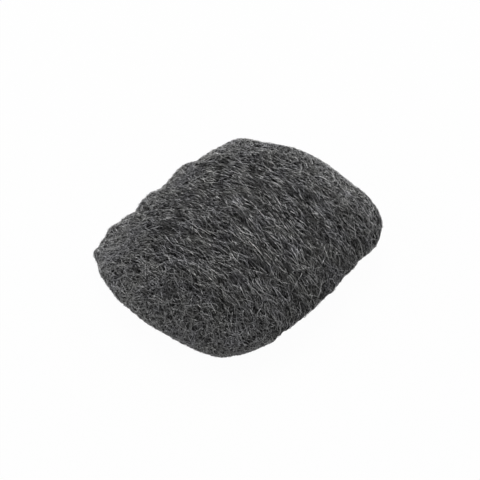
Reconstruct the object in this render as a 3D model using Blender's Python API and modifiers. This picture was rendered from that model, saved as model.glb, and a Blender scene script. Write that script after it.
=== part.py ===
"""Steel wool pad: one felted body of fine steel strands, pressed into a flat pillow.

+X is the long way of the pad, +Y its back edge and +Z is up. The pad lies on z = 0.
The strands run across the short way, over the long edges and back underneath.
"""
import math

import bmesh
import bpy
from mathutils import Vector

# Overall sizes in metres
PAD_LENGTH = 0.104
PAD_WIDTH = 0.088
PAD_THICKNESS = 0.026

# The rounded sides: height of the widest line, and how far crown and base draw in from it
RIM_HEIGHT = 0.0095
SHOULDER_INSET = 0.0085
BASE_INSET = 0.0105

# Strand bundles: shallow ridges that run with the strands, across the pad, and fan out to the back
BUNDLE_PITCH = 0.0045
BUNDLE_RUN = 0.026
BUNDLE_DEPTH = 0.0019
BUNDLE_CONTRAST = 1.8
FRONT_TURN = math.radians(-7)
BACK_TURN = math.radians(17)

# Hollows: the broad soft dents of a pad pressed by hand
HOLLOW_SPAN = 0.017
HOLLOW_DEPTH = 0.0030

# Plan outline in shares of half the length and half the width, from the front left corner
# round by the right; every third point is a corner
OUTLINE = (
    (-0.75, -0.80), (-0.45, -1.10), (0.35, -1.10),
    (0.90, -0.95), (1.05, -0.40), (1.00, 0.30),
    (0.70, 0.85), (0.30, 1.00), (-0.25, 1.00),
    (-0.75, 0.90), (-0.95, 0.45), (-0.95, -0.25),
)
POINTS_PER_SIDE = 3

# Height of the crown in shares of the thickness: front, middle and back rows, left to right
CROWN = (
    (0.55, 0.70, 0.75),
    (0.60, 1.00, 0.85),
    (0.35, 0.55, 0.65),
)

# Height of the rim in shares of its named height, laid out the same way
RIM = (
    (0.90, 1.00, 1.20),
    (0.90, 1.00, 1.20),
    (0.65, 0.80, 1.00),
)

# Cells of the coarse cage and its smoothing
LENGTH_CELLS = 19
WIDTH_CELLS = 7
SMOOTHING_LEVELS = 2
FITTING_PASSES = 4

STEEL_COLOUR = (0.075, 0.075, 0.077, 1.0)

BASE, WAIST, TOP = range(3)


def clear_scene():
    for item in list(bpy.data.objects):
        bpy.data.objects.remove(item, do_unlink=True)


def new_collection(name):
    collection = bpy.data.collections.new(name)
    bpy.context.scene.collection.children.link(collection)
    return collection


def steel_material():
    material = bpy.data.materials.new("steel_wool")
    material.use_nodes = True
    shader = material.node_tree.nodes["Principled BSDF"]
    shader.inputs["Base Color"].default_value = STEEL_COLOUR
    shader.inputs["Metallic"].default_value = 0.8
    shader.inputs["Roughness"].default_value = 0.5
    return material


def outline_point(step):
    """Point of the closed outline at a number of points round, on a smooth Catmull-Rom curve."""
    first = math.floor(step)
    t = step - first
    before, start, end, after = (Vector(OUTLINE[(first + k) % len(OUTLINE)]) for k in (-1, 0, 1, 2))
    slope_in = (end - before) / 2
    slope_out = (after - start) / 2
    return (
        start * (2 * t**3 - 3 * t**2 + 1) + slope_in * (t**3 - 2 * t**2 + t)
        + end * (3 * t**2 - 2 * t**3) + slope_out * (t**3 - t**2)
    )


def plan(u, v):
    """Place in plan of a cage point, u and v from -1 to 1, as a patch between the four sides."""
    a = (u + 1) / 2
    b = (v + 1) / 2
    side = POINTS_PER_SIDE
    front = outline_point(side * a)
    right = outline_point(side + side * b)
    back = outline_point(3 * side - side * a)
    left = outline_point(4 * side - side * b)
    front_left, front_right, back_right, back_left = (Vector(OUTLINE[k * side]) for k in range(4))
    corners = (
        (front_left * (1 - a) + front_right * a) * (1 - b)
        + (back_left * (1 - a) + back_right * a) * b
    )
    share = front * (1 - b) + back * b + left * (1 - a) + right * a - corners
    return Vector((share.x * PAD_LENGTH / 2, share.y * PAD_WIDTH / 2))


def through_three(values, t):
    """Parabola through three values at -1, 0 and 1."""
    low, middle, high = values
    return middle + t * (high - low) / 2 + t * t * ((high + low) / 2 - middle)


def over_pad(table, u, v):
    return through_three([through_three(row, u) for row in table], v)


def cage_place(u, v, layer):
    """Place of a cage point: the flat base, the waist at the widest line, or the crown."""
    inset = {BASE: BASE_INSET, WAIST: 0.0, TOP: SHOULDER_INSET}[layer]
    flat = plan(u * (1 - 2 * inset / PAD_LENGTH), v * (1 - 2 * inset / PAD_WIDTH))
    height = {
        BASE: 0.0,
        WAIST: RIM_HEIGHT * over_pad(RIM, u, v),
        TOP: PAD_THICKNESS * over_pad(CROWN, u, v),
    }[layer]
    return Vector((flat.x, flat.y, height))


def build_cage():
    """A grid for the base, drawn up once to the waist and once more to the crown."""
    cage = bmesh.new()
    bmesh.ops.create_grid(cage, x_segments=LENGTH_CELLS, y_segments=WIDTH_CELLS, size=1.0)
    layer_of = cage.verts.layers.int.new("layer")
    sheet = list(cage.faces)
    for layer, keep in ((WAIST, True), (TOP, False)):
        drawn = bmesh.ops.extrude_face_region(cage, geom=sheet, use_keep_orig=keep)["geom"]
        if not keep:
            bmesh.ops.delete(cage, geom=sheet, context="FACES")
        for vert in (item for item in drawn if isinstance(item, bmesh.types.BMVert)):
            vert[layer_of] = layer
        sheet = [item for item in drawn if isinstance(item, bmesh.types.BMFace)]
    return cage, layer_of


def add_group(pad, name, weights):
    group = pad.vertex_groups.new(name=name)
    for index, weight in enumerate(weights):
        group.add([index], weight, "REPLACE")


def build_pad(collection):
    cage, layer_of = build_cage()
    depth = {BASE: 0.0, WAIST: 0.7, TOP: 1.0}
    felt = [depth[vert[layer_of]] for vert in cage.verts]
    back = [min(max(0.5 + vert.co.y, 0.0), 1.0) for vert in cage.verts]
    for vert in cage.verts:
        vert.co = cage_place(vert.co.x, vert.co.y, vert[layer_of])
    bmesh.ops.recalc_face_normals(cage, faces=cage.faces)
    mesh = bpy.data.meshes.new("wool_pad")
    cage.to_mesh(mesh)
    cage.free()
    mesh.materials.append(steel_material())
    mesh.shade_smooth()
    pad = bpy.data.objects.new("wool_pad", mesh)
    collection.objects.link(pad)
    add_group(pad, "felt", felt)
    add_group(pad, "felt_front", [depth * (1 - share) for depth, share in zip(felt, back)])
    add_group(pad, "felt_back", [depth * share for depth, share in zip(felt, back)])
    smoothing = pad.modifiers.new("smoothing", "SUBSURF")
    smoothing.levels = SMOOTHING_LEVELS
    smoothing.render_levels = SMOOTHING_LEVELS
    return pad


def add_guide(collection, name, turn, stretch):
    """An empty that gives a displacement its direction and stretches it along the strands."""
    guide = bpy.data.objects.new(name, None)
    guide.rotation_euler.z = turn
    guide.scale = stretch
    collection.objects.link(guide)
    return guide


def add_relief(pad, guide, depth, group, contrast=1.0):
    """Pushes the felt in and out by a cloud pattern in the guide's own frame."""
    pattern = bpy.data.textures.new(guide.name, "CLOUDS")
    pattern.noise_scale = 1.0
    pattern.noise_depth = 1
    pattern.contrast = contrast
    relief = pad.modifiers.new(guide.name, "DISPLACE")
    relief.texture = pattern
    relief.texture_coords = "OBJECT"
    relief.texture_coords_object = guide
    relief.strength = depth
    relief.mid_level = 0.5
    relief.vertex_group = group


def measured_box(pad):
    bpy.context.view_layer.update()
    graph = bpy.context.evaluated_depsgraph_get()
    graph.update()
    evaluated = pad.evaluated_get(graph)
    mesh = evaluated.to_mesh()
    low = Vector(min(vert.co[axis] for vert in mesh.vertices) for axis in range(3))
    high = Vector(max(vert.co[axis] for vert in mesh.vertices) for axis in range(3))
    evaluated.to_mesh_clear()
    return low, high


def fit_to_sizes(pad):
    """Stretches the cage until the smoothed pad measures its named sizes, centred on the origin."""
    wanted = Vector((PAD_LENGTH, PAD_WIDTH, PAD_THICKNESS))
    for _ in range(FITTING_PASSES):
        low, high = measured_box(pad)
        centre = (low + high) / 2
        for vert in pad.data.vertices:
            for axis in range(3):
                kept = 0.0 if axis == 2 else centre[axis]
                stretch = wanted[axis] / (high[axis] - low[axis])
                vert.co[axis] = (vert.co[axis] - kept) * stretch
        pad.data.update()


def main():
    clear_scene()
    collection = new_collection("steel_wool_pad")
    guides = new_collection("guides")
    pad = build_pad(collection)
    hollows = add_guide(guides, "soft_hollows", BACK_TURN, (HOLLOW_SPAN,) * 3)
    add_relief(pad, hollows, HOLLOW_DEPTH, "felt")
    along_strands = (BUNDLE_PITCH, BUNDLE_RUN, BUNDLE_RUN)
    for side, turn in (("front", FRONT_TURN), ("back", BACK_TURN)):
        bundles = add_guide(guides, f"{side}_bundles", turn, along_strands)
        add_relief(pad, bundles, BUNDLE_DEPTH, f"felt_{side}", BUNDLE_CONTRAST)
    fit_to_sizes(pad)


main()
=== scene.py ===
"""Looks of the steel wool pad: a near-black felted core, painted shade of the deep wool, under
thousands of fine wrapped strands.
"""
import math
from dataclasses import dataclass, replace

import bmesh
import bpy
import numpy as np
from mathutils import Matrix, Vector, noise
from mathutils.bvhtree import BVHTree


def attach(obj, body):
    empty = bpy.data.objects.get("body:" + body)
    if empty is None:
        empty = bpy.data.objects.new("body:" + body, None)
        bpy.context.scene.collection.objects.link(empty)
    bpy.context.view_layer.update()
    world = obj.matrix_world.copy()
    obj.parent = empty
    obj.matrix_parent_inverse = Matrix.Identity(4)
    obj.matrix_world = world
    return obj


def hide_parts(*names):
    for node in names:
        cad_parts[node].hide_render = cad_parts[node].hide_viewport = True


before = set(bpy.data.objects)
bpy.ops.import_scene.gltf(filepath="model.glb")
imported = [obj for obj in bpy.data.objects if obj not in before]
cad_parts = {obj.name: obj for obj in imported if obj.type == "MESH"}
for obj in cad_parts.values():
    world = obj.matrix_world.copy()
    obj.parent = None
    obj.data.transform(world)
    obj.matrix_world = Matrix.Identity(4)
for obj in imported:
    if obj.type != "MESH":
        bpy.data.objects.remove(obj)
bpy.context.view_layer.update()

MM = 0.001

# Camera: where it stands round the pad in degrees, its distance and lens, and where it looks
CAMERA_AZIMUTH = -46.0
CAMERA_ELEVATION = 52.0
CAMERA_DISTANCE = 0.60
CAMERA_LENS = 113.0
SENSOR_WIDTH = 36.0
AIM_HEIGHT = 0.010
AIM_RIGHT = 1.0 * MM

# Studio: the share of plain white in what the camera sees of the floor, the soft light from all
# round, and the lamps, each with its place in metres and its power in watts
FLOOR_SIZE = 4.0
FLOOR_WHITE = 0.97
SOFT_LIGHT = 0.365
LAMP_SIZE = 0.6
LAMPS = (
    ("key", (0.45, 0.55, 0.9), 4.2),
    ("end", (0.95, 0.1, 0.3), 3.0),
    ("fill", (-0.6, 0.75, 0.5), 2.5),
)

# Felted core: how far it lies under the CAD surface, and the height and fineness of its relief,
# which runs with the strands
CORE_DEPTH = 0.9 * MM
CORE_RELIEF = 0.3 * MM
CORE_RELIEF_FINENESS = (900, 160, 300)
CORE_FIBRE_FINENESS = (3200, 260, 420)
CORE_FIBRE_HEIGHT = 0.4 * MM
CORE_ROUGHNESS = (0.75, 0.45)

# Underside: how far down a surface faces to count as one, and its share of strands against the
# top and sides
UNDERSIDE_FACING = -0.7
UNDERSIDE_SHARE = 0.3

# Even scatter: candidates for each place that is kept, and the grid cell that thins them, as a
# share of the room that each place has
CANDIDATES = 6
CELL_SHARE = 0.8

# Even felt: each strand is the one of so many that lies where the least light steel lies, as
# counted in cells of this size
CHOICES = 3
CROWD_CELL = 1.0 * MM

# Turn of the strands from the short way of the pad, in degrees: in the middle, what the back
# edge adds and the front edge takes away, and what the back half, the left end and the front
# right corner add
TURN_MIDDLE = -3
TURN_EDGES = 12
TURN_BACK = 24
TURN_BACK_POWER = 1.5
TURN_LEFT = 10
TURN_LEFT_START = 0.2
TURN_FRONT_RIGHT = 8

# Frizz round the rim, in shares of the half size: where it starts and how wide its rise is. The
# long front edge has less of it, and is given by where it starts and how wide its rise is
RIM_POWER = 3
FRIZZ_RISE = (0.55, 0.4)
FRONT_RISE = (0.3, 0.5)
FRONT_LEFT_RISE = (-0.6, 0.4)
FRONT_CALM = 0.75
FRIZZ_CANDIDATES = 4

# What the frizz does: a share where there is none, and what full frizz adds to it
LENGTH_BY_FRIZZ = (1.0, -0.35)
SPREAD_BY_FRIZZ = (0.6, 0.9)
BEND_BY_FRIZZ = (0.6, 1.2)
CURL_BY_FRIZZ = (0.4, 1.2)

# Towards the rim the wool is finer, so its tones draw together, to a tone set light partly as
# painted light; at the back and on the right it is painted lighter still, as painted light from
# behind on the far rims
RIM_EVENNESS = 0.8
RIM_PAINTED_LIGHT = 0.22

# Waves of a strand: the length of a plain one, the ranges of their rate and swing, the strength
# of the long and the short ones, and how much faster the short ones go
WAVE_LENGTH = 14 * MM
WAVE_RATES = (0.5, 1.6)
WAVE_SWINGS = (0.4, 1.6)
LONG_WAVE = 0.6
SHORT_WAVE = 0.5
SHORT_WAVE_RATE = 2.1

# Coil of a strand, in degrees to a millimetre for each unit of curl
COIL_RATE = 2.2

# Rise and fall of a strand: how its arch leans, how many times it weaves up and down, and the
# share of its length at each end that dives under the others
ARCH_LEANS = (0.6, 1.6)
WEAVE_TURNS = (1.0, 2.4)
DIVE_SHARE = 0.18

# Tube of a strand: its sides, the width that it would taper to, the share of its length at which
# the taper is cut off, and the spread of its twist in radians
TUBE_SIDES = 3
TIP_WIDTH = 0.45
TIP_CUT = 0.02
TWIST_SPREAD = 3

# Bake map: the gap beside each side of a tube, as a share of its strip, and the corners of a cap,
# as shares of a row
BAKE_MARGIN = 0.15
BAKE_CAP = ((0.1, 0.1), (0.3, 0.1), (0.2, 0.4))

# Steel: how fine the glints painted into the colour along a strand are, how far the noise of one
# strand is from the next one's, and the roughness from dull to bright
GLINT_FINENESS = 1000
STRANDS_APART = 50
STRAND_ROUGHNESS = (0.5, 0.28)

# Tint patches at random places: how many to a metre, and their tints, from olive through plain to
# blue
PATCH_FINENESS = 130
PATCH_TINTS = (
    (0.36, (1.0, 1.0, 0.98, 1)),
    (0.45, (1, 1, 1, 1)),
    (0.54, (1, 1, 1, 1)),
    (0.64, (0.99, 0.99, 1.02, 1)),
)

# Shade strands, a painted shadow under each bright strand: how far they lie under their bright ones,
# and their width in millimetres, tone and own part of it
SHADE_DROP = 0.14
SHADE_WIDTH = (0.28, 0.36)
SHADE_TONE = (0.002, 0.26)
SHADE_OWN = (0.0, 0.1)


@dataclass(kw_only=True)
class Layer:
    """One layer of strands, with lengths in millimetres and angles in degrees.

    A pair is the range in which each strand has its own value.
    """
    name: str
    seed: int
    count: int

    # The tubes: cross-sections in each, its length and its width
    rings: int
    length: tuple
    width: tuple

    # Heights: of the strand against the CAD surface, of its arch and of its weave, and how far
    # its ends dive
    depth: tuple
    lift: tuple = (0.0, 0.4)
    weave: float = 0.2
    dive: float = 0.5

    # Ways: how far strands stray from the flow, how far their waves swing and how much they coil
    spread: float
    bend: float
    curl: float

    # Looks: darkest and lightest base colour, strength of the glints painted along a strand, the
    # part of the tones that strands have of their own and the tone that they draw to at the rim, set
    # light partly as painted light
    tone: tuple
    glint: float
    own: tuple = (0.0, 1.0)
    rim: float

    # Whether strands start only where the wool frizzes
    frizz_only: bool = False


def shade(layer, name):
    """The layer's strands again, wide and dark just under the bright ones, as painted shadow in the
    gaps of the wool.
    """
    low, high = layer.depth
    return replace(
        layer, name=name, width=SHADE_WIDTH, depth=(low - SHADE_DROP, high - SHADE_DROP),
        tone=SHADE_TONE, own=SHADE_OWN, rim=1.0,
    )


STRANDS_OUTER = Layer(
    name="strands_outer", seed=14, count=8600, rings=4, length=(5, 9), width=(0.10, 0.13),
    depth=(-0.5, -0.15), spread=44, bend=16, curl=1.5,
    tone=(0.0063, 0.82), glint=1.5, rim=0.76,
)
STRANDS_TOP = Layer(
    name="strands_top", seed=17, count=5200, rings=4, length=(6, 11), width=(0.10, 0.13),
    depth=(-0.4, -0.1), spread=40, bend=16, curl=1.2,
    tone=(0.0063, 0.90), glint=1.5, rim=0.74,
)
# The deeper layers have darker tones: painted shade of the felt under the top strands
LAYERS = (
    Layer(
        name="felt_cross", seed=12, count=1500, rings=5, length=(6, 12), width=(0.20, 0.30),
        depth=(-0.85, -0.5), dive=0.6, spread=50, bend=14, curl=1.0,
        tone=(0.004, 0.10), glint=3.0, own=(0.0, 0.5), rim=1.0,
    ),
    Layer(
        name="strands_inner", seed=13, count=2000, rings=4, length=(3, 7), width=(0.12, 0.16),
        depth=(-0.75, -0.45), spread=46, bend=20, curl=1.5,
        tone=(0.018, 0.27), glint=2.0, rim=0.75,
    ),
    STRANDS_OUTER,
    shade(STRANDS_OUTER, "shade_outer"),
    STRANDS_TOP,
    shade(STRANDS_TOP, "shade_top"),
    Layer(
        name="strands_long", seed=15, count=4300, rings=7, length=(8, 16), width=(0.11, 0.14),
        depth=(-0.3, 0.0), lift=(0.0, 0.3), weave=0.3, dive=0.6, spread=24, bend=12, curl=0.8,
        tone=(0.018, 0.92), glint=0.8, rim=0.65,
    ),
    Layer(
        name="frizz", seed=16, count=1500, rings=6, length=(3, 8), width=(0.08, 0.11),
        depth=(-0.5, -0.1), lift=(0.0, 0.5), spread=80, bend=30, curl=2.5,
        tone=(0.09, 0.42), glint=2.0, rim=0.62, frizz_only=True,
    ),
)


def unit(vectors):
    return vectors / np.maximum(np.linalg.norm(vectors, axis=-1, keepdims=True), 1e-12)


def turned(directions, normals, angles):
    """Directions turned about the normals."""
    return (
        directions * np.cos(angles)[:, None]
        + np.cross(normals, directions) * np.sin(angles)[:, None]
    )


def rising(values, rise):
    """Shares that are nought up to the start of the rise, and one from its end."""
    start, width = rise
    return np.clip((values - start) / width, 0, 1)


def by_frizz(shares, frizz):
    plain, added = shares
    return plain + added * frizz


def smooth_copy(node):
    """The CAD solid as one welded mesh, subdivided once so that its facets are smooth."""
    form = bmesh.new()
    form.from_mesh(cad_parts[node].data)
    bmesh.ops.remove_doubles(form, verts=form.verts, dist=1e-6)
    mesh = bpy.data.meshes.new("felt_core")
    form.to_mesh(mesh)
    form.free()
    rough = bpy.data.objects.new("felt_core_cage", mesh)
    bpy.context.scene.collection.objects.link(rough)
    rough.modifiers.new("smooth", "SUBSURF").levels = 1
    graph = bpy.context.evaluated_depsgraph_get()
    smooth = bpy.data.meshes.new_from_object(rough.evaluated_get(graph))
    bpy.data.objects.remove(rough, do_unlink=True)
    smooth.name = "felt_core"
    smooth.materials.clear()
    return smooth


class Surface:
    """The pad's outer surface, with the direction in which its strands run."""

    def __init__(self, mesh):
        mesh.calc_loop_triangles()
        self.points = np.array([vert.co for vert in mesh.vertices])
        self.normals = np.array([vert.normal for vert in mesh.vertices])
        self.triangles = np.array([tri.vertices[:] for tri in mesh.loop_triangles])
        self.tree = BVHTree.FromPolygons(self.points.tolist(), self.triangles.tolist())
        low, high = self.points.min(0), self.points.max(0)
        self.half = (high - low)[:2] / 2

    def shares(self, places):
        """How far places lie to the right and to the back, in shares of the half size."""
        return (places[:, :2] / self.half).T

    def scatter(self, count, random):
        """Evenly spread random places on the surface, fewer on the underside."""
        a, b, c = (self.points[self.triangles[:, k]] for k in range(3))
        facing = np.cross(b - a, c - a)
        area = np.linalg.norm(facing, axis=1) / 2
        under = facing[:, 2] < 2 * UNDERSIDE_FACING * area
        pick = random.choice(len(area), count * CANDIDATES, p=area / area.sum())
        u, v = random.random((2, len(pick), 1))
        over = u + v > 1
        u, v = np.where(over, 1 - u, u), np.where(over, 1 - v, v)
        places = a[pick] + (b - a)[pick] * u + (c - a)[pick] * v
        room = (area * np.where(under, UNDERSIDE_SHARE, 1.0)).sum() / count
        cell = np.sqrt(room) * CELL_SHARE
        first = np.unique(np.floor(places / cell).astype(int), axis=0, return_index=True)[1]
        first = first[~under[pick[first]] | (random.random(len(first)) < UNDERSIDE_SHARE)]
        if len(first) < count:
            rest = np.setdiff1d(np.flatnonzero(~under[pick]), first)
            first = np.concatenate([first, random.choice(rest, count - len(first), replace=False)])
        return places[random.choice(first, count, replace=False)]

    def nearest(self, places):
        """The nearest points on the surface and the smooth normals there."""
        found, normals = np.empty_like(places), np.empty_like(places)
        for k, place in enumerate(places.tolist()):
            point, _, index, _ = self.tree.find_nearest(place)
            found[k] = point
            normals[k] = self.normals[self.triangles[index]].mean(0)
        return found, unit(normals)

    def flow(self, places, normals):
        """Unit direction of the strands, which wrap round the pad's long way."""
        u, v = self.shares(places)
        turn = np.radians(
            TURN_MIDDLE + TURN_EDGES * v
            + TURN_BACK * np.clip(v, 0, 1) ** TURN_BACK_POWER
            + TURN_LEFT * np.clip(-u - TURN_LEFT_START, 0, 1)
            + TURN_FRONT_RIGHT * np.clip(u, 0, 1) * np.clip(-v, 0, 1)
        )
        axis = np.stack([np.cos(turn), np.sin(turn), np.zeros_like(turn)], 1)
        return unit(np.cross(axis, normals))

    def frizz(self, places):
        """Share from 0 to 1: high round the rim, where the wool frizzes, less on the long front."""
        u, v = self.shares(places)
        out = (np.abs(u) ** RIM_POWER + np.abs(v) ** RIM_POWER) ** (1 / RIM_POWER)
        front = rising(-v, FRONT_RISE) * rising(u, FRONT_LEFT_RISE)
        return rising(out, FRIZZ_RISE) * (1 - FRONT_CALM * front)


def strand_starts(surface, layer, random):
    """Places where strands may start, so many for each one that is kept."""
    count = layer.count * CHOICES
    if not layer.frizz_only:
        return surface.scatter(count, random)
    places = surface.scatter(count * FRIZZ_CANDIDATES, random)
    frizz = surface.frizz(places)
    return places[random.choice(len(places), count, replace=False, p=frizz / frizz.sum())]


def own_tones(surface, layer, shine, starts, frizz):
    """Each strand's own tone, where nought is its layer's darkest. They draw together at the rim, to
    a tone that is partly painted light, lighter still at the back and on the right.
    """
    even = RIM_EVENNESS * frizz
    # Painted light: the rim tone, raised at the back and on the right
    rim = layer.rim + RIM_PAINTED_LIGHT * np.clip(surface.shares(starts), 0, 1).sum(0)
    return np.interp(shine, (0, 1), layer.own) * (1 - even) + rim * even


class Bends:
    """The random waves and the coil of each strand, as it lies on the surface."""

    def __init__(self, layer, frizz, random):
        count = len(frizz)
        self.rate = random.uniform(*WAVE_RATES, (2, count)) * (2 * np.pi / WAVE_LENGTH)
        self.phase = random.uniform(0, 2 * np.pi, (2, count))
        swing = np.radians(layer.bend) * by_frizz(BEND_BY_FRIZZ, frizz)
        self.swing = swing * random.uniform(*WAVE_SWINGS, count)
        curl = random.normal(0, 1, count) * layer.curl * by_frizz(CURL_BY_FRIZZ, frizz)
        self.coil = curl * np.radians(COIL_RATE) / MM

    def at(self, along):
        """How fast each strand turns at a length along it, in radians to a metre."""
        long_rate, short_rate = self.rate
        long_phase, short_phase = self.phase
        long_wave = long_rate * np.cos(long_rate * along + long_phase) * LONG_WAVE
        short_way = short_rate * SHORT_WAVE_RATE * along + short_phase
        short_wave = short_rate * np.cos(short_way) * SHORT_WAVE
        return self.swing * (long_wave + short_wave) + self.coil


def least_crowded(places, shine, count):
    """Picks strands one by one, each the one of a few that adds the least to a light patch."""
    cells = np.floor(places.reshape(-1, 3) / CROWD_CELL).astype(int)
    cells = np.unique(cells, axis=0, return_inverse=True)[1].reshape(places.shape[:2])
    load = np.zeros(cells.max() + 1)
    kept = []
    for rivals in np.arange(count * CHOICES).reshape(count, CHOICES):
        chosen = rivals[load[cells[rivals]].mean(1).argmin()]
        load[cells[chosen]] += shine[chosen]
        kept.append(chosen)
    return kept


def march(surface, layer, random):
    """Runs each strand over the surface. Gives its points, the normals there and its own tone."""
    place, normal = surface.nearest(strand_starts(surface, layer, random))
    count = len(place)
    frizz = surface.frizz(place)
    shine = random.random(count)
    own = own_tones(surface, layer, shine, place, frizz)
    share = np.where(normal[:, 2] < UNDERSIDE_FACING, UNDERSIDE_SHARE, 1.0)
    lengths = random.uniform(*layer.length, count) * MM * by_frizz(LENGTH_BY_FRIZZ, frizz)
    step = lengths / (layer.rings - 1)
    spread = np.radians(layer.spread) * by_frizz(SPREAD_BY_FRIZZ, frizz)
    heading = turned(surface.flow(place, normal), normal, random.normal(0, 1, count) * spread)
    heading = heading * random.choice((-1.0, 1.0), count)[:, None]
    bends = Bends(layer, frizz, random)
    places, normals = [place], [normal]
    for ring in range(1, layer.rings):
        heading = turned(heading, normal, bends.at(ring * step) * step)
        ahead, normal = surface.nearest(place + heading * step[:, None])
        travelled = ahead - place
        heading = unit(travelled - normal * (travelled * normal).sum(1)[:, None])
        place = ahead
        places.append(place)
        normals.append(normal)
    places, normals = np.stack(places, 1), np.stack(normals, 1)
    kept = least_crowded(places, shine / share, layer.count)
    return places[kept], normals[kept], own[kept]


def raise_strands(layer, places, normals, random):
    """Lifts each strand off the surface in an arch and dives its ends under the others."""
    count, rings = places.shape[:2]
    t = np.linspace(0, 1, rings)[None, :]
    depth = random.uniform(*layer.depth, (count, 1)) * MM
    lift = random.uniform(*layer.lift, (count, 1)) * MM
    arch = np.sin(np.pi * t ** random.uniform(*ARCH_LEANS, (count, 1)))
    ends = 1 - np.clip(np.minimum(t, 1 - t) / DIVE_SHARE, 0, 1)
    turns = random.uniform(*WEAVE_TURNS, (count, 1)) * 2 * np.pi
    weave = layer.weave * MM * np.sin(turns * t + random.uniform(0, 2 * np.pi, (count, 1)))
    height = depth + lift * arch + weave - layer.dive * MM * ends**2
    lifted = places + normals * height[..., None]
    lifted[..., 2] = np.maximum(lifted[..., 2], 0)
    return lifted


def tubes(layer, line, normals, random):
    """Closed three-sided tapered tubes along the lines: their vertices, sides and end caps."""
    count, rings = line.shape[:2]
    ahead = unit(np.gradient(line, axis=1))
    side = unit(np.cross(ahead, normals))
    up = np.cross(side, ahead)
    t = np.linspace(0, 1, rings)[None, :]
    swell = np.sin(np.pi * np.clip(t, TIP_CUT, 1 - TIP_CUT)) ** 0.5
    taper = TIP_WIDTH + (1 - TIP_WIDTH) * swell
    radius = random.uniform(*layer.width, (count, 1)) * MM / 2 * taper
    twist = random.uniform(0, 2 * np.pi, (count, 1)) + random.normal(0, TWIST_SPREAD, (count, 1)) * t
    corners = []
    for k in range(TUBE_SIDES):
        angle = twist + 2 * np.pi * k / TUBE_SIDES
        spoke = side * np.cos(angle)[..., None] + up * np.sin(angle)[..., None]
        corners.append(line + spoke * radius[..., None])
    body = np.stack(corners, 2)
    body[..., 2] = np.maximum(body[..., 2], 0)
    first = np.arange(count)[:, None, None] * rings * TUBE_SIDES
    base = first + np.arange(rings - 1)[None, :, None] * TUBE_SIDES
    k = np.arange(TUBE_SIDES)[None, None, :]
    after = (k + 1) % TUBE_SIDES
    sides = np.stack([base + k, base + after, base + TUBE_SIDES + after, base + TUBE_SIDES + k], -1)
    near = first[:, 0] + np.arange(TUBE_SIDES)[::-1]
    far = first[:, 0] + (rings - 1) * TUBE_SIDES + np.arange(TUBE_SIDES)
    return body.reshape(-1, 3), sides.reshape(-1, 4), np.concatenate([near, far])


def add_bake_map(mesh, count, rings):
    """Gives each strand its own cell of a square grid, with its sides as strips in that cell."""
    across = math.ceil(math.sqrt(count))
    strand = np.arange(count)
    corner = np.stack([strand % across, strand // across], 1) / across
    k = np.arange(TUBE_SIDES)[None, None, :]
    ring = np.arange(rings - 1)[None, :, None]
    left, right = (k + BAKE_MARGIN) / TUBE_SIDES, (k + 1 - BAKE_MARGIN) / TUBE_SIDES
    low, high = (ring + 0.5) / (rings + 1), (ring + 1.5) / (rings + 1)
    quad = np.stack(np.broadcast_arrays(left, low, right, low, right, high, left, high), -1)
    quad = quad.reshape(1, -1, 4, 2) / across + corner[:, None, None, :]
    cap = np.array(BAKE_CAP) / (rings + 1)
    ends = np.stack([cap, cap + [0, 1 - 1 / (rings + 1)]])
    ends = ends[:, None] / across + corner[None, :, None, :]
    places = np.concatenate([quad.reshape(-1, 2), ends.reshape(-1, 2)])
    mesh.uv_layers.new(name="OFBake").data.foreach_set("uv", places.ravel().astype(np.float32))


def strand_mesh(layer, own, vertices, sides, caps):
    mesh = bpy.data.meshes.new(layer.name)
    mesh.from_pydata(vertices.tolist(), [], sides.tolist() + caps.tolist())
    tone = np.repeat(own, layer.rings * TUBE_SIDES)
    mesh.attributes.new("tone", "FLOAT", "POINT").data.foreach_set("value", tone.astype(np.float32))
    add_bake_map(mesh, layer.count, layer.rings)
    return mesh


def new_material(name):
    material = bpy.data.materials.new(name)
    material.use_nodes = True
    return material, material.node_tree


def grey(value):
    return (value, value, value, 1)


def math_node(tree, operation, *values):
    """A math node with its inputs in order, each a socket to link or a number to set."""
    node = tree.nodes.new("ShaderNodeMath")
    node.operation = operation
    for socket, value in zip(node.inputs, values):
        if isinstance(value, bpy.types.NodeSocket):
            tree.links.new(value, socket)
        else:
            socket.default_value = value
    return node.outputs[0]


def noise_node(tree, place, **values):
    """A noise texture at a place, with its other inputs by name."""
    node = tree.nodes.new("ShaderNodeTexNoise")
    tree.links.new(place, node.inputs["Vector"])
    for name, value in values.items():
        node.inputs[name].default_value = value
    return node


def mapped(tree, value, source, target):
    """A value mapped from one range to another."""
    node = tree.nodes.new("ShaderNodeMapRange")
    tree.links.new(value, node.inputs["Value"])
    for name, number in zip(("From Min", "From Max", "To Min", "To Max"), (*source, *target)):
        node.inputs[name].default_value = number
    return node.outputs["Result"]


def ramped(tree, value, stops):
    """A colour ramp over a value, with its stops as pairs of place and colour."""
    node = tree.nodes.new("ShaderNodeValToRGB")
    tree.links.new(value, node.inputs["Fac"])
    elements = node.color_ramp.elements
    for end in (0, -1):
        elements[end].position, elements[end].color = stops[end]
    for place, colour in stops[1:-1]:
        elements.new(place).color = colour
    return node.outputs["Color"]


def tinted(tree, place, colour):
    """Multiplies a colour by faint blue and olive patches at random places."""
    patches = noise_node(tree, place, Scale=PATCH_FINENESS, Detail=1)
    mix = tree.nodes.new("ShaderNodeMix")
    mix.data_type = "RGBA"
    mix.blend_type = "MULTIPLY"
    mix.inputs["Factor"].default_value = 1.0
    tree.links.new(colour, mix.inputs["A"])
    tree.links.new(ramped(tree, patches.outputs["Fac"], PATCH_TINTS), mix.inputs["B"])
    return mix.outputs["Result"]


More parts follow.
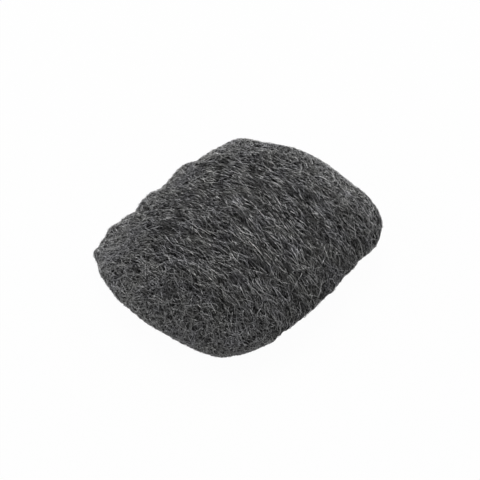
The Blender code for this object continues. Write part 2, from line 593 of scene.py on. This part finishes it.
def strand_material(layer):
    """Steel, different on each strand and slowly changing along it, with glints painted into its
    colour; where they are bright it is also less rough.
    """
    material, tree = new_material(layer.name)
    shader = tree.nodes["Principled BSDF"]
    shader.inputs["Metallic"].default_value = 1.0
    attribute = tree.nodes.new("ShaderNodeAttribute")
    attribute.attribute_name = "tone"
    own = attribute.outputs["Fac"]
    place = tree.nodes.new("ShaderNodeTexCoord").outputs["Object"]
    # Painted glints: noise along each strand, apart from the next strand's, that lightens its colour
    glints = noise_node(tree, place, Scale=GLINT_FINENESS, Detail=1)
    glints.noise_dimensions = "4D"
    tree.links.new(math_node(tree, "MULTIPLY", own, STRANDS_APART), glints.inputs["W"])
    glint = glints.outputs["Fac"]
    blend = math_node(tree, "MULTIPLY_ADD", glint, layer.glint, own)
    share = mapped(tree, blend, (layer.glint / 2 - 0.5, layer.glint / 2 + 1.5), (0, 1))
    dark, light = layer.tone
    stops = ((0, grey(dark)), (0.5, grey(math.sqrt(dark * light))), (1, grey(light)))
    tree.links.new(tinted(tree, place, ramped(tree, share, stops)), shader.inputs["Base Color"])
    tree.links.new(mapped(tree, glint, (0, 1), STRAND_ROUGHNESS), shader.inputs["Roughness"])
    return material


def add_layer(surface, layer):
    random = np.random.default_rng(layer.seed)
    places, normals, own = march(surface, layer, random)
    line = raise_strands(layer, places, normals, random)
    mesh = strand_mesh(layer, own, *tubes(layer, line, normals, random))
    mesh.materials.append(strand_material(layer))
    piece = bpy.data.objects.new(layer.name, mesh)
    bpy.context.scene.collection.objects.link(piece)
    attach(piece, "root")


def core_material():
    """Near-black steel, painted shade of the deep felt, with fine fibres that run with the strands.
    """
    material, tree = new_material("felt_core")
    shader = tree.nodes["Principled BSDF"]
    shader.inputs["Metallic"].default_value = 0.7
    stretch = tree.nodes.new("ShaderNodeMapping")
    stretch.inputs["Scale"].default_value = CORE_FIBRE_FINENESS
    place = tree.nodes.new("ShaderNodeTexCoord").outputs["Object"]
    tree.links.new(place, stretch.inputs["Vector"])
    stretched = stretch.outputs["Vector"]
    fibres = noise_node(tree, stretched, Scale=1, Detail=4, Distortion=0.6).outputs["Fac"]
    # Near-black tones: painted shade of the deep felt
    tones = ramped(tree, fibres, ((0.38, grey(0.002)), (0.72, grey(0.02))))
    tree.links.new(tones, shader.inputs["Base Color"])
    tree.links.new(mapped(tree, fibres, (0, 1), CORE_ROUGHNESS), shader.inputs["Roughness"])
    bump = tree.nodes.new("ShaderNodeBump")
    bump.inputs["Strength"].default_value = 0.8
    bump.inputs["Distance"].default_value = CORE_FIBRE_HEIGHT
    tree.links.new(fibres, bump.inputs["Height"])
    tree.links.new(bump.outputs["Normal"], shader.inputs["Normal"])
    return material


def add_core(mesh, surface):
    """The matted inside of the pad, which fills what shows between the strands with painted shade.
    """
    fine = surface.points * CORE_RELIEF_FINENESS
    relief = np.array([noise.noise(place) for place in fine.tolist()])
    depth = CORE_DEPTH - CORE_RELIEF * relief
    inner = surface.points - surface.normals * depth[:, None]
    inner[:, 2] = np.maximum(inner[:, 2], 0)
    mesh.vertices.foreach_set("co", inner.ravel())
    mesh.update()
    mesh.shade_smooth()
    mesh.materials.append(core_material())
    core = bpy.data.objects.new("felt_core", mesh)
    bpy.context.scene.collection.objects.link(core)
    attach(core, "root")
    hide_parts("wool_pad")


def white_for_camera(tree, share):
    """The share for camera, glossy and transmission rays, and nought for all others."""
    rays = tree.nodes.new("ShaderNodeLightPath").outputs
    seen = math_node(tree, "MAXIMUM", rays["Is Camera Ray"], rays["Is Glossy Ray"])
    seen = math_node(tree, "MAXIMUM", seen, rays["Is Transmission Ray"])
    return math_node(tree, "MULTIPLY", seen, share)


def mixed(tree, share, first, second):
    """Two shaders mixed by a share."""
    mix = tree.nodes.new("ShaderNodeMixShader")
    for socket, value in zip(mix.inputs, (share, first.outputs[0], second.outputs[0])):
        tree.links.new(value, socket)
    return mix.outputs[0]


def add_floor():
    """A white floor that the camera sees as the backdrop, with the pad's soft shadow."""
    bpy.ops.mesh.primitive_plane_add(size=FLOOR_SIZE)
    floor = bpy.context.object
    floor.name = "floor"
    material, tree = new_material("white_floor")
    shader = tree.nodes["Principled BSDF"]
    shader.inputs["Base Color"].default_value = grey(0.9)
    shader.inputs["Roughness"].default_value = 0.9
    shader.inputs["Specular IOR Level"].default_value = 0.1
    white = tree.nodes.new("ShaderNodeEmission")
    white.inputs["Color"].default_value = grey(1)
    surface_shader = mixed(tree, white_for_camera(tree, FLOOR_WHITE), shader, white)
    tree.links.new(surface_shader, tree.nodes["Material Output"].inputs["Surface"])
    floor.data.materials.append(material)


def add_world():
    """Soft white light from all round, and plain white where the camera sees past the floor."""
    world = bpy.data.worlds.new("studio")
    bpy.context.scene.world = world
    world.use_nodes = True
    tree = world.node_tree
    soft = tree.nodes["Background"]
    soft.inputs["Color"].default_value = grey(1)
    soft.inputs["Strength"].default_value = SOFT_LIGHT
    white = tree.nodes.new("ShaderNodeBackground")
    white.inputs["Color"].default_value = grey(1)
    light = mixed(tree, white_for_camera(tree, 1.0), soft, white)
    tree.links.new(light, tree.nodes["World Output"].inputs["Surface"])


def add_lamp(name, place, power):
    """A round lamp that faces the pad."""
    light = bpy.data.lights.new(name, "AREA")
    light.shape = "DISK"
    light.size = LAMP_SIZE
    light.energy = power
    lamp = bpy.data.objects.new(name, light)
    lamp.location = place
    lamp.rotation_euler = (-Vector(place)).to_track_quat("-Z", "Y").to_euler()
    bpy.context.scene.collection.objects.link(lamp)


def add_camera():
    azimuth, elevation = math.radians(CAMERA_AZIMUTH), math.radians(CAMERA_ELEVATION)
    back = Vector((
        math.sin(azimuth) * math.cos(elevation),
        -math.cos(azimuth) * math.cos(elevation),
        math.sin(elevation),
    ))
    right = Vector((math.cos(azimuth), math.sin(azimuth), 0))
    aim = Vector((0, 0, AIM_HEIGHT)) + right * AIM_RIGHT
    data = bpy.data.cameras.new("camera")
    data.lens = CAMERA_LENS
    data.sensor_width = SENSOR_WIDTH
    data.clip_start = 0.01
    camera = bpy.data.objects.new("camera", data)
    camera.location = aim + back * CAMERA_DISTANCE
    camera.rotation_euler = back.to_track_quat("Z", "Y").to_euler()
    bpy.context.scene.collection.objects.link(camera)
    bpy.context.scene.camera = camera


add_camera()
core_mesh = smooth_copy("wool_pad")
surface = Surface(core_mesh)
add_core(core_mesh, surface)
for layer in LAYERS:
    add_layer(surface, layer)
add_floor()
add_world()
for name, place, power in LAMPS:
    add_lamp(name, place, power)
bpy.context.scene.view_settings.view_transform = "Standard"
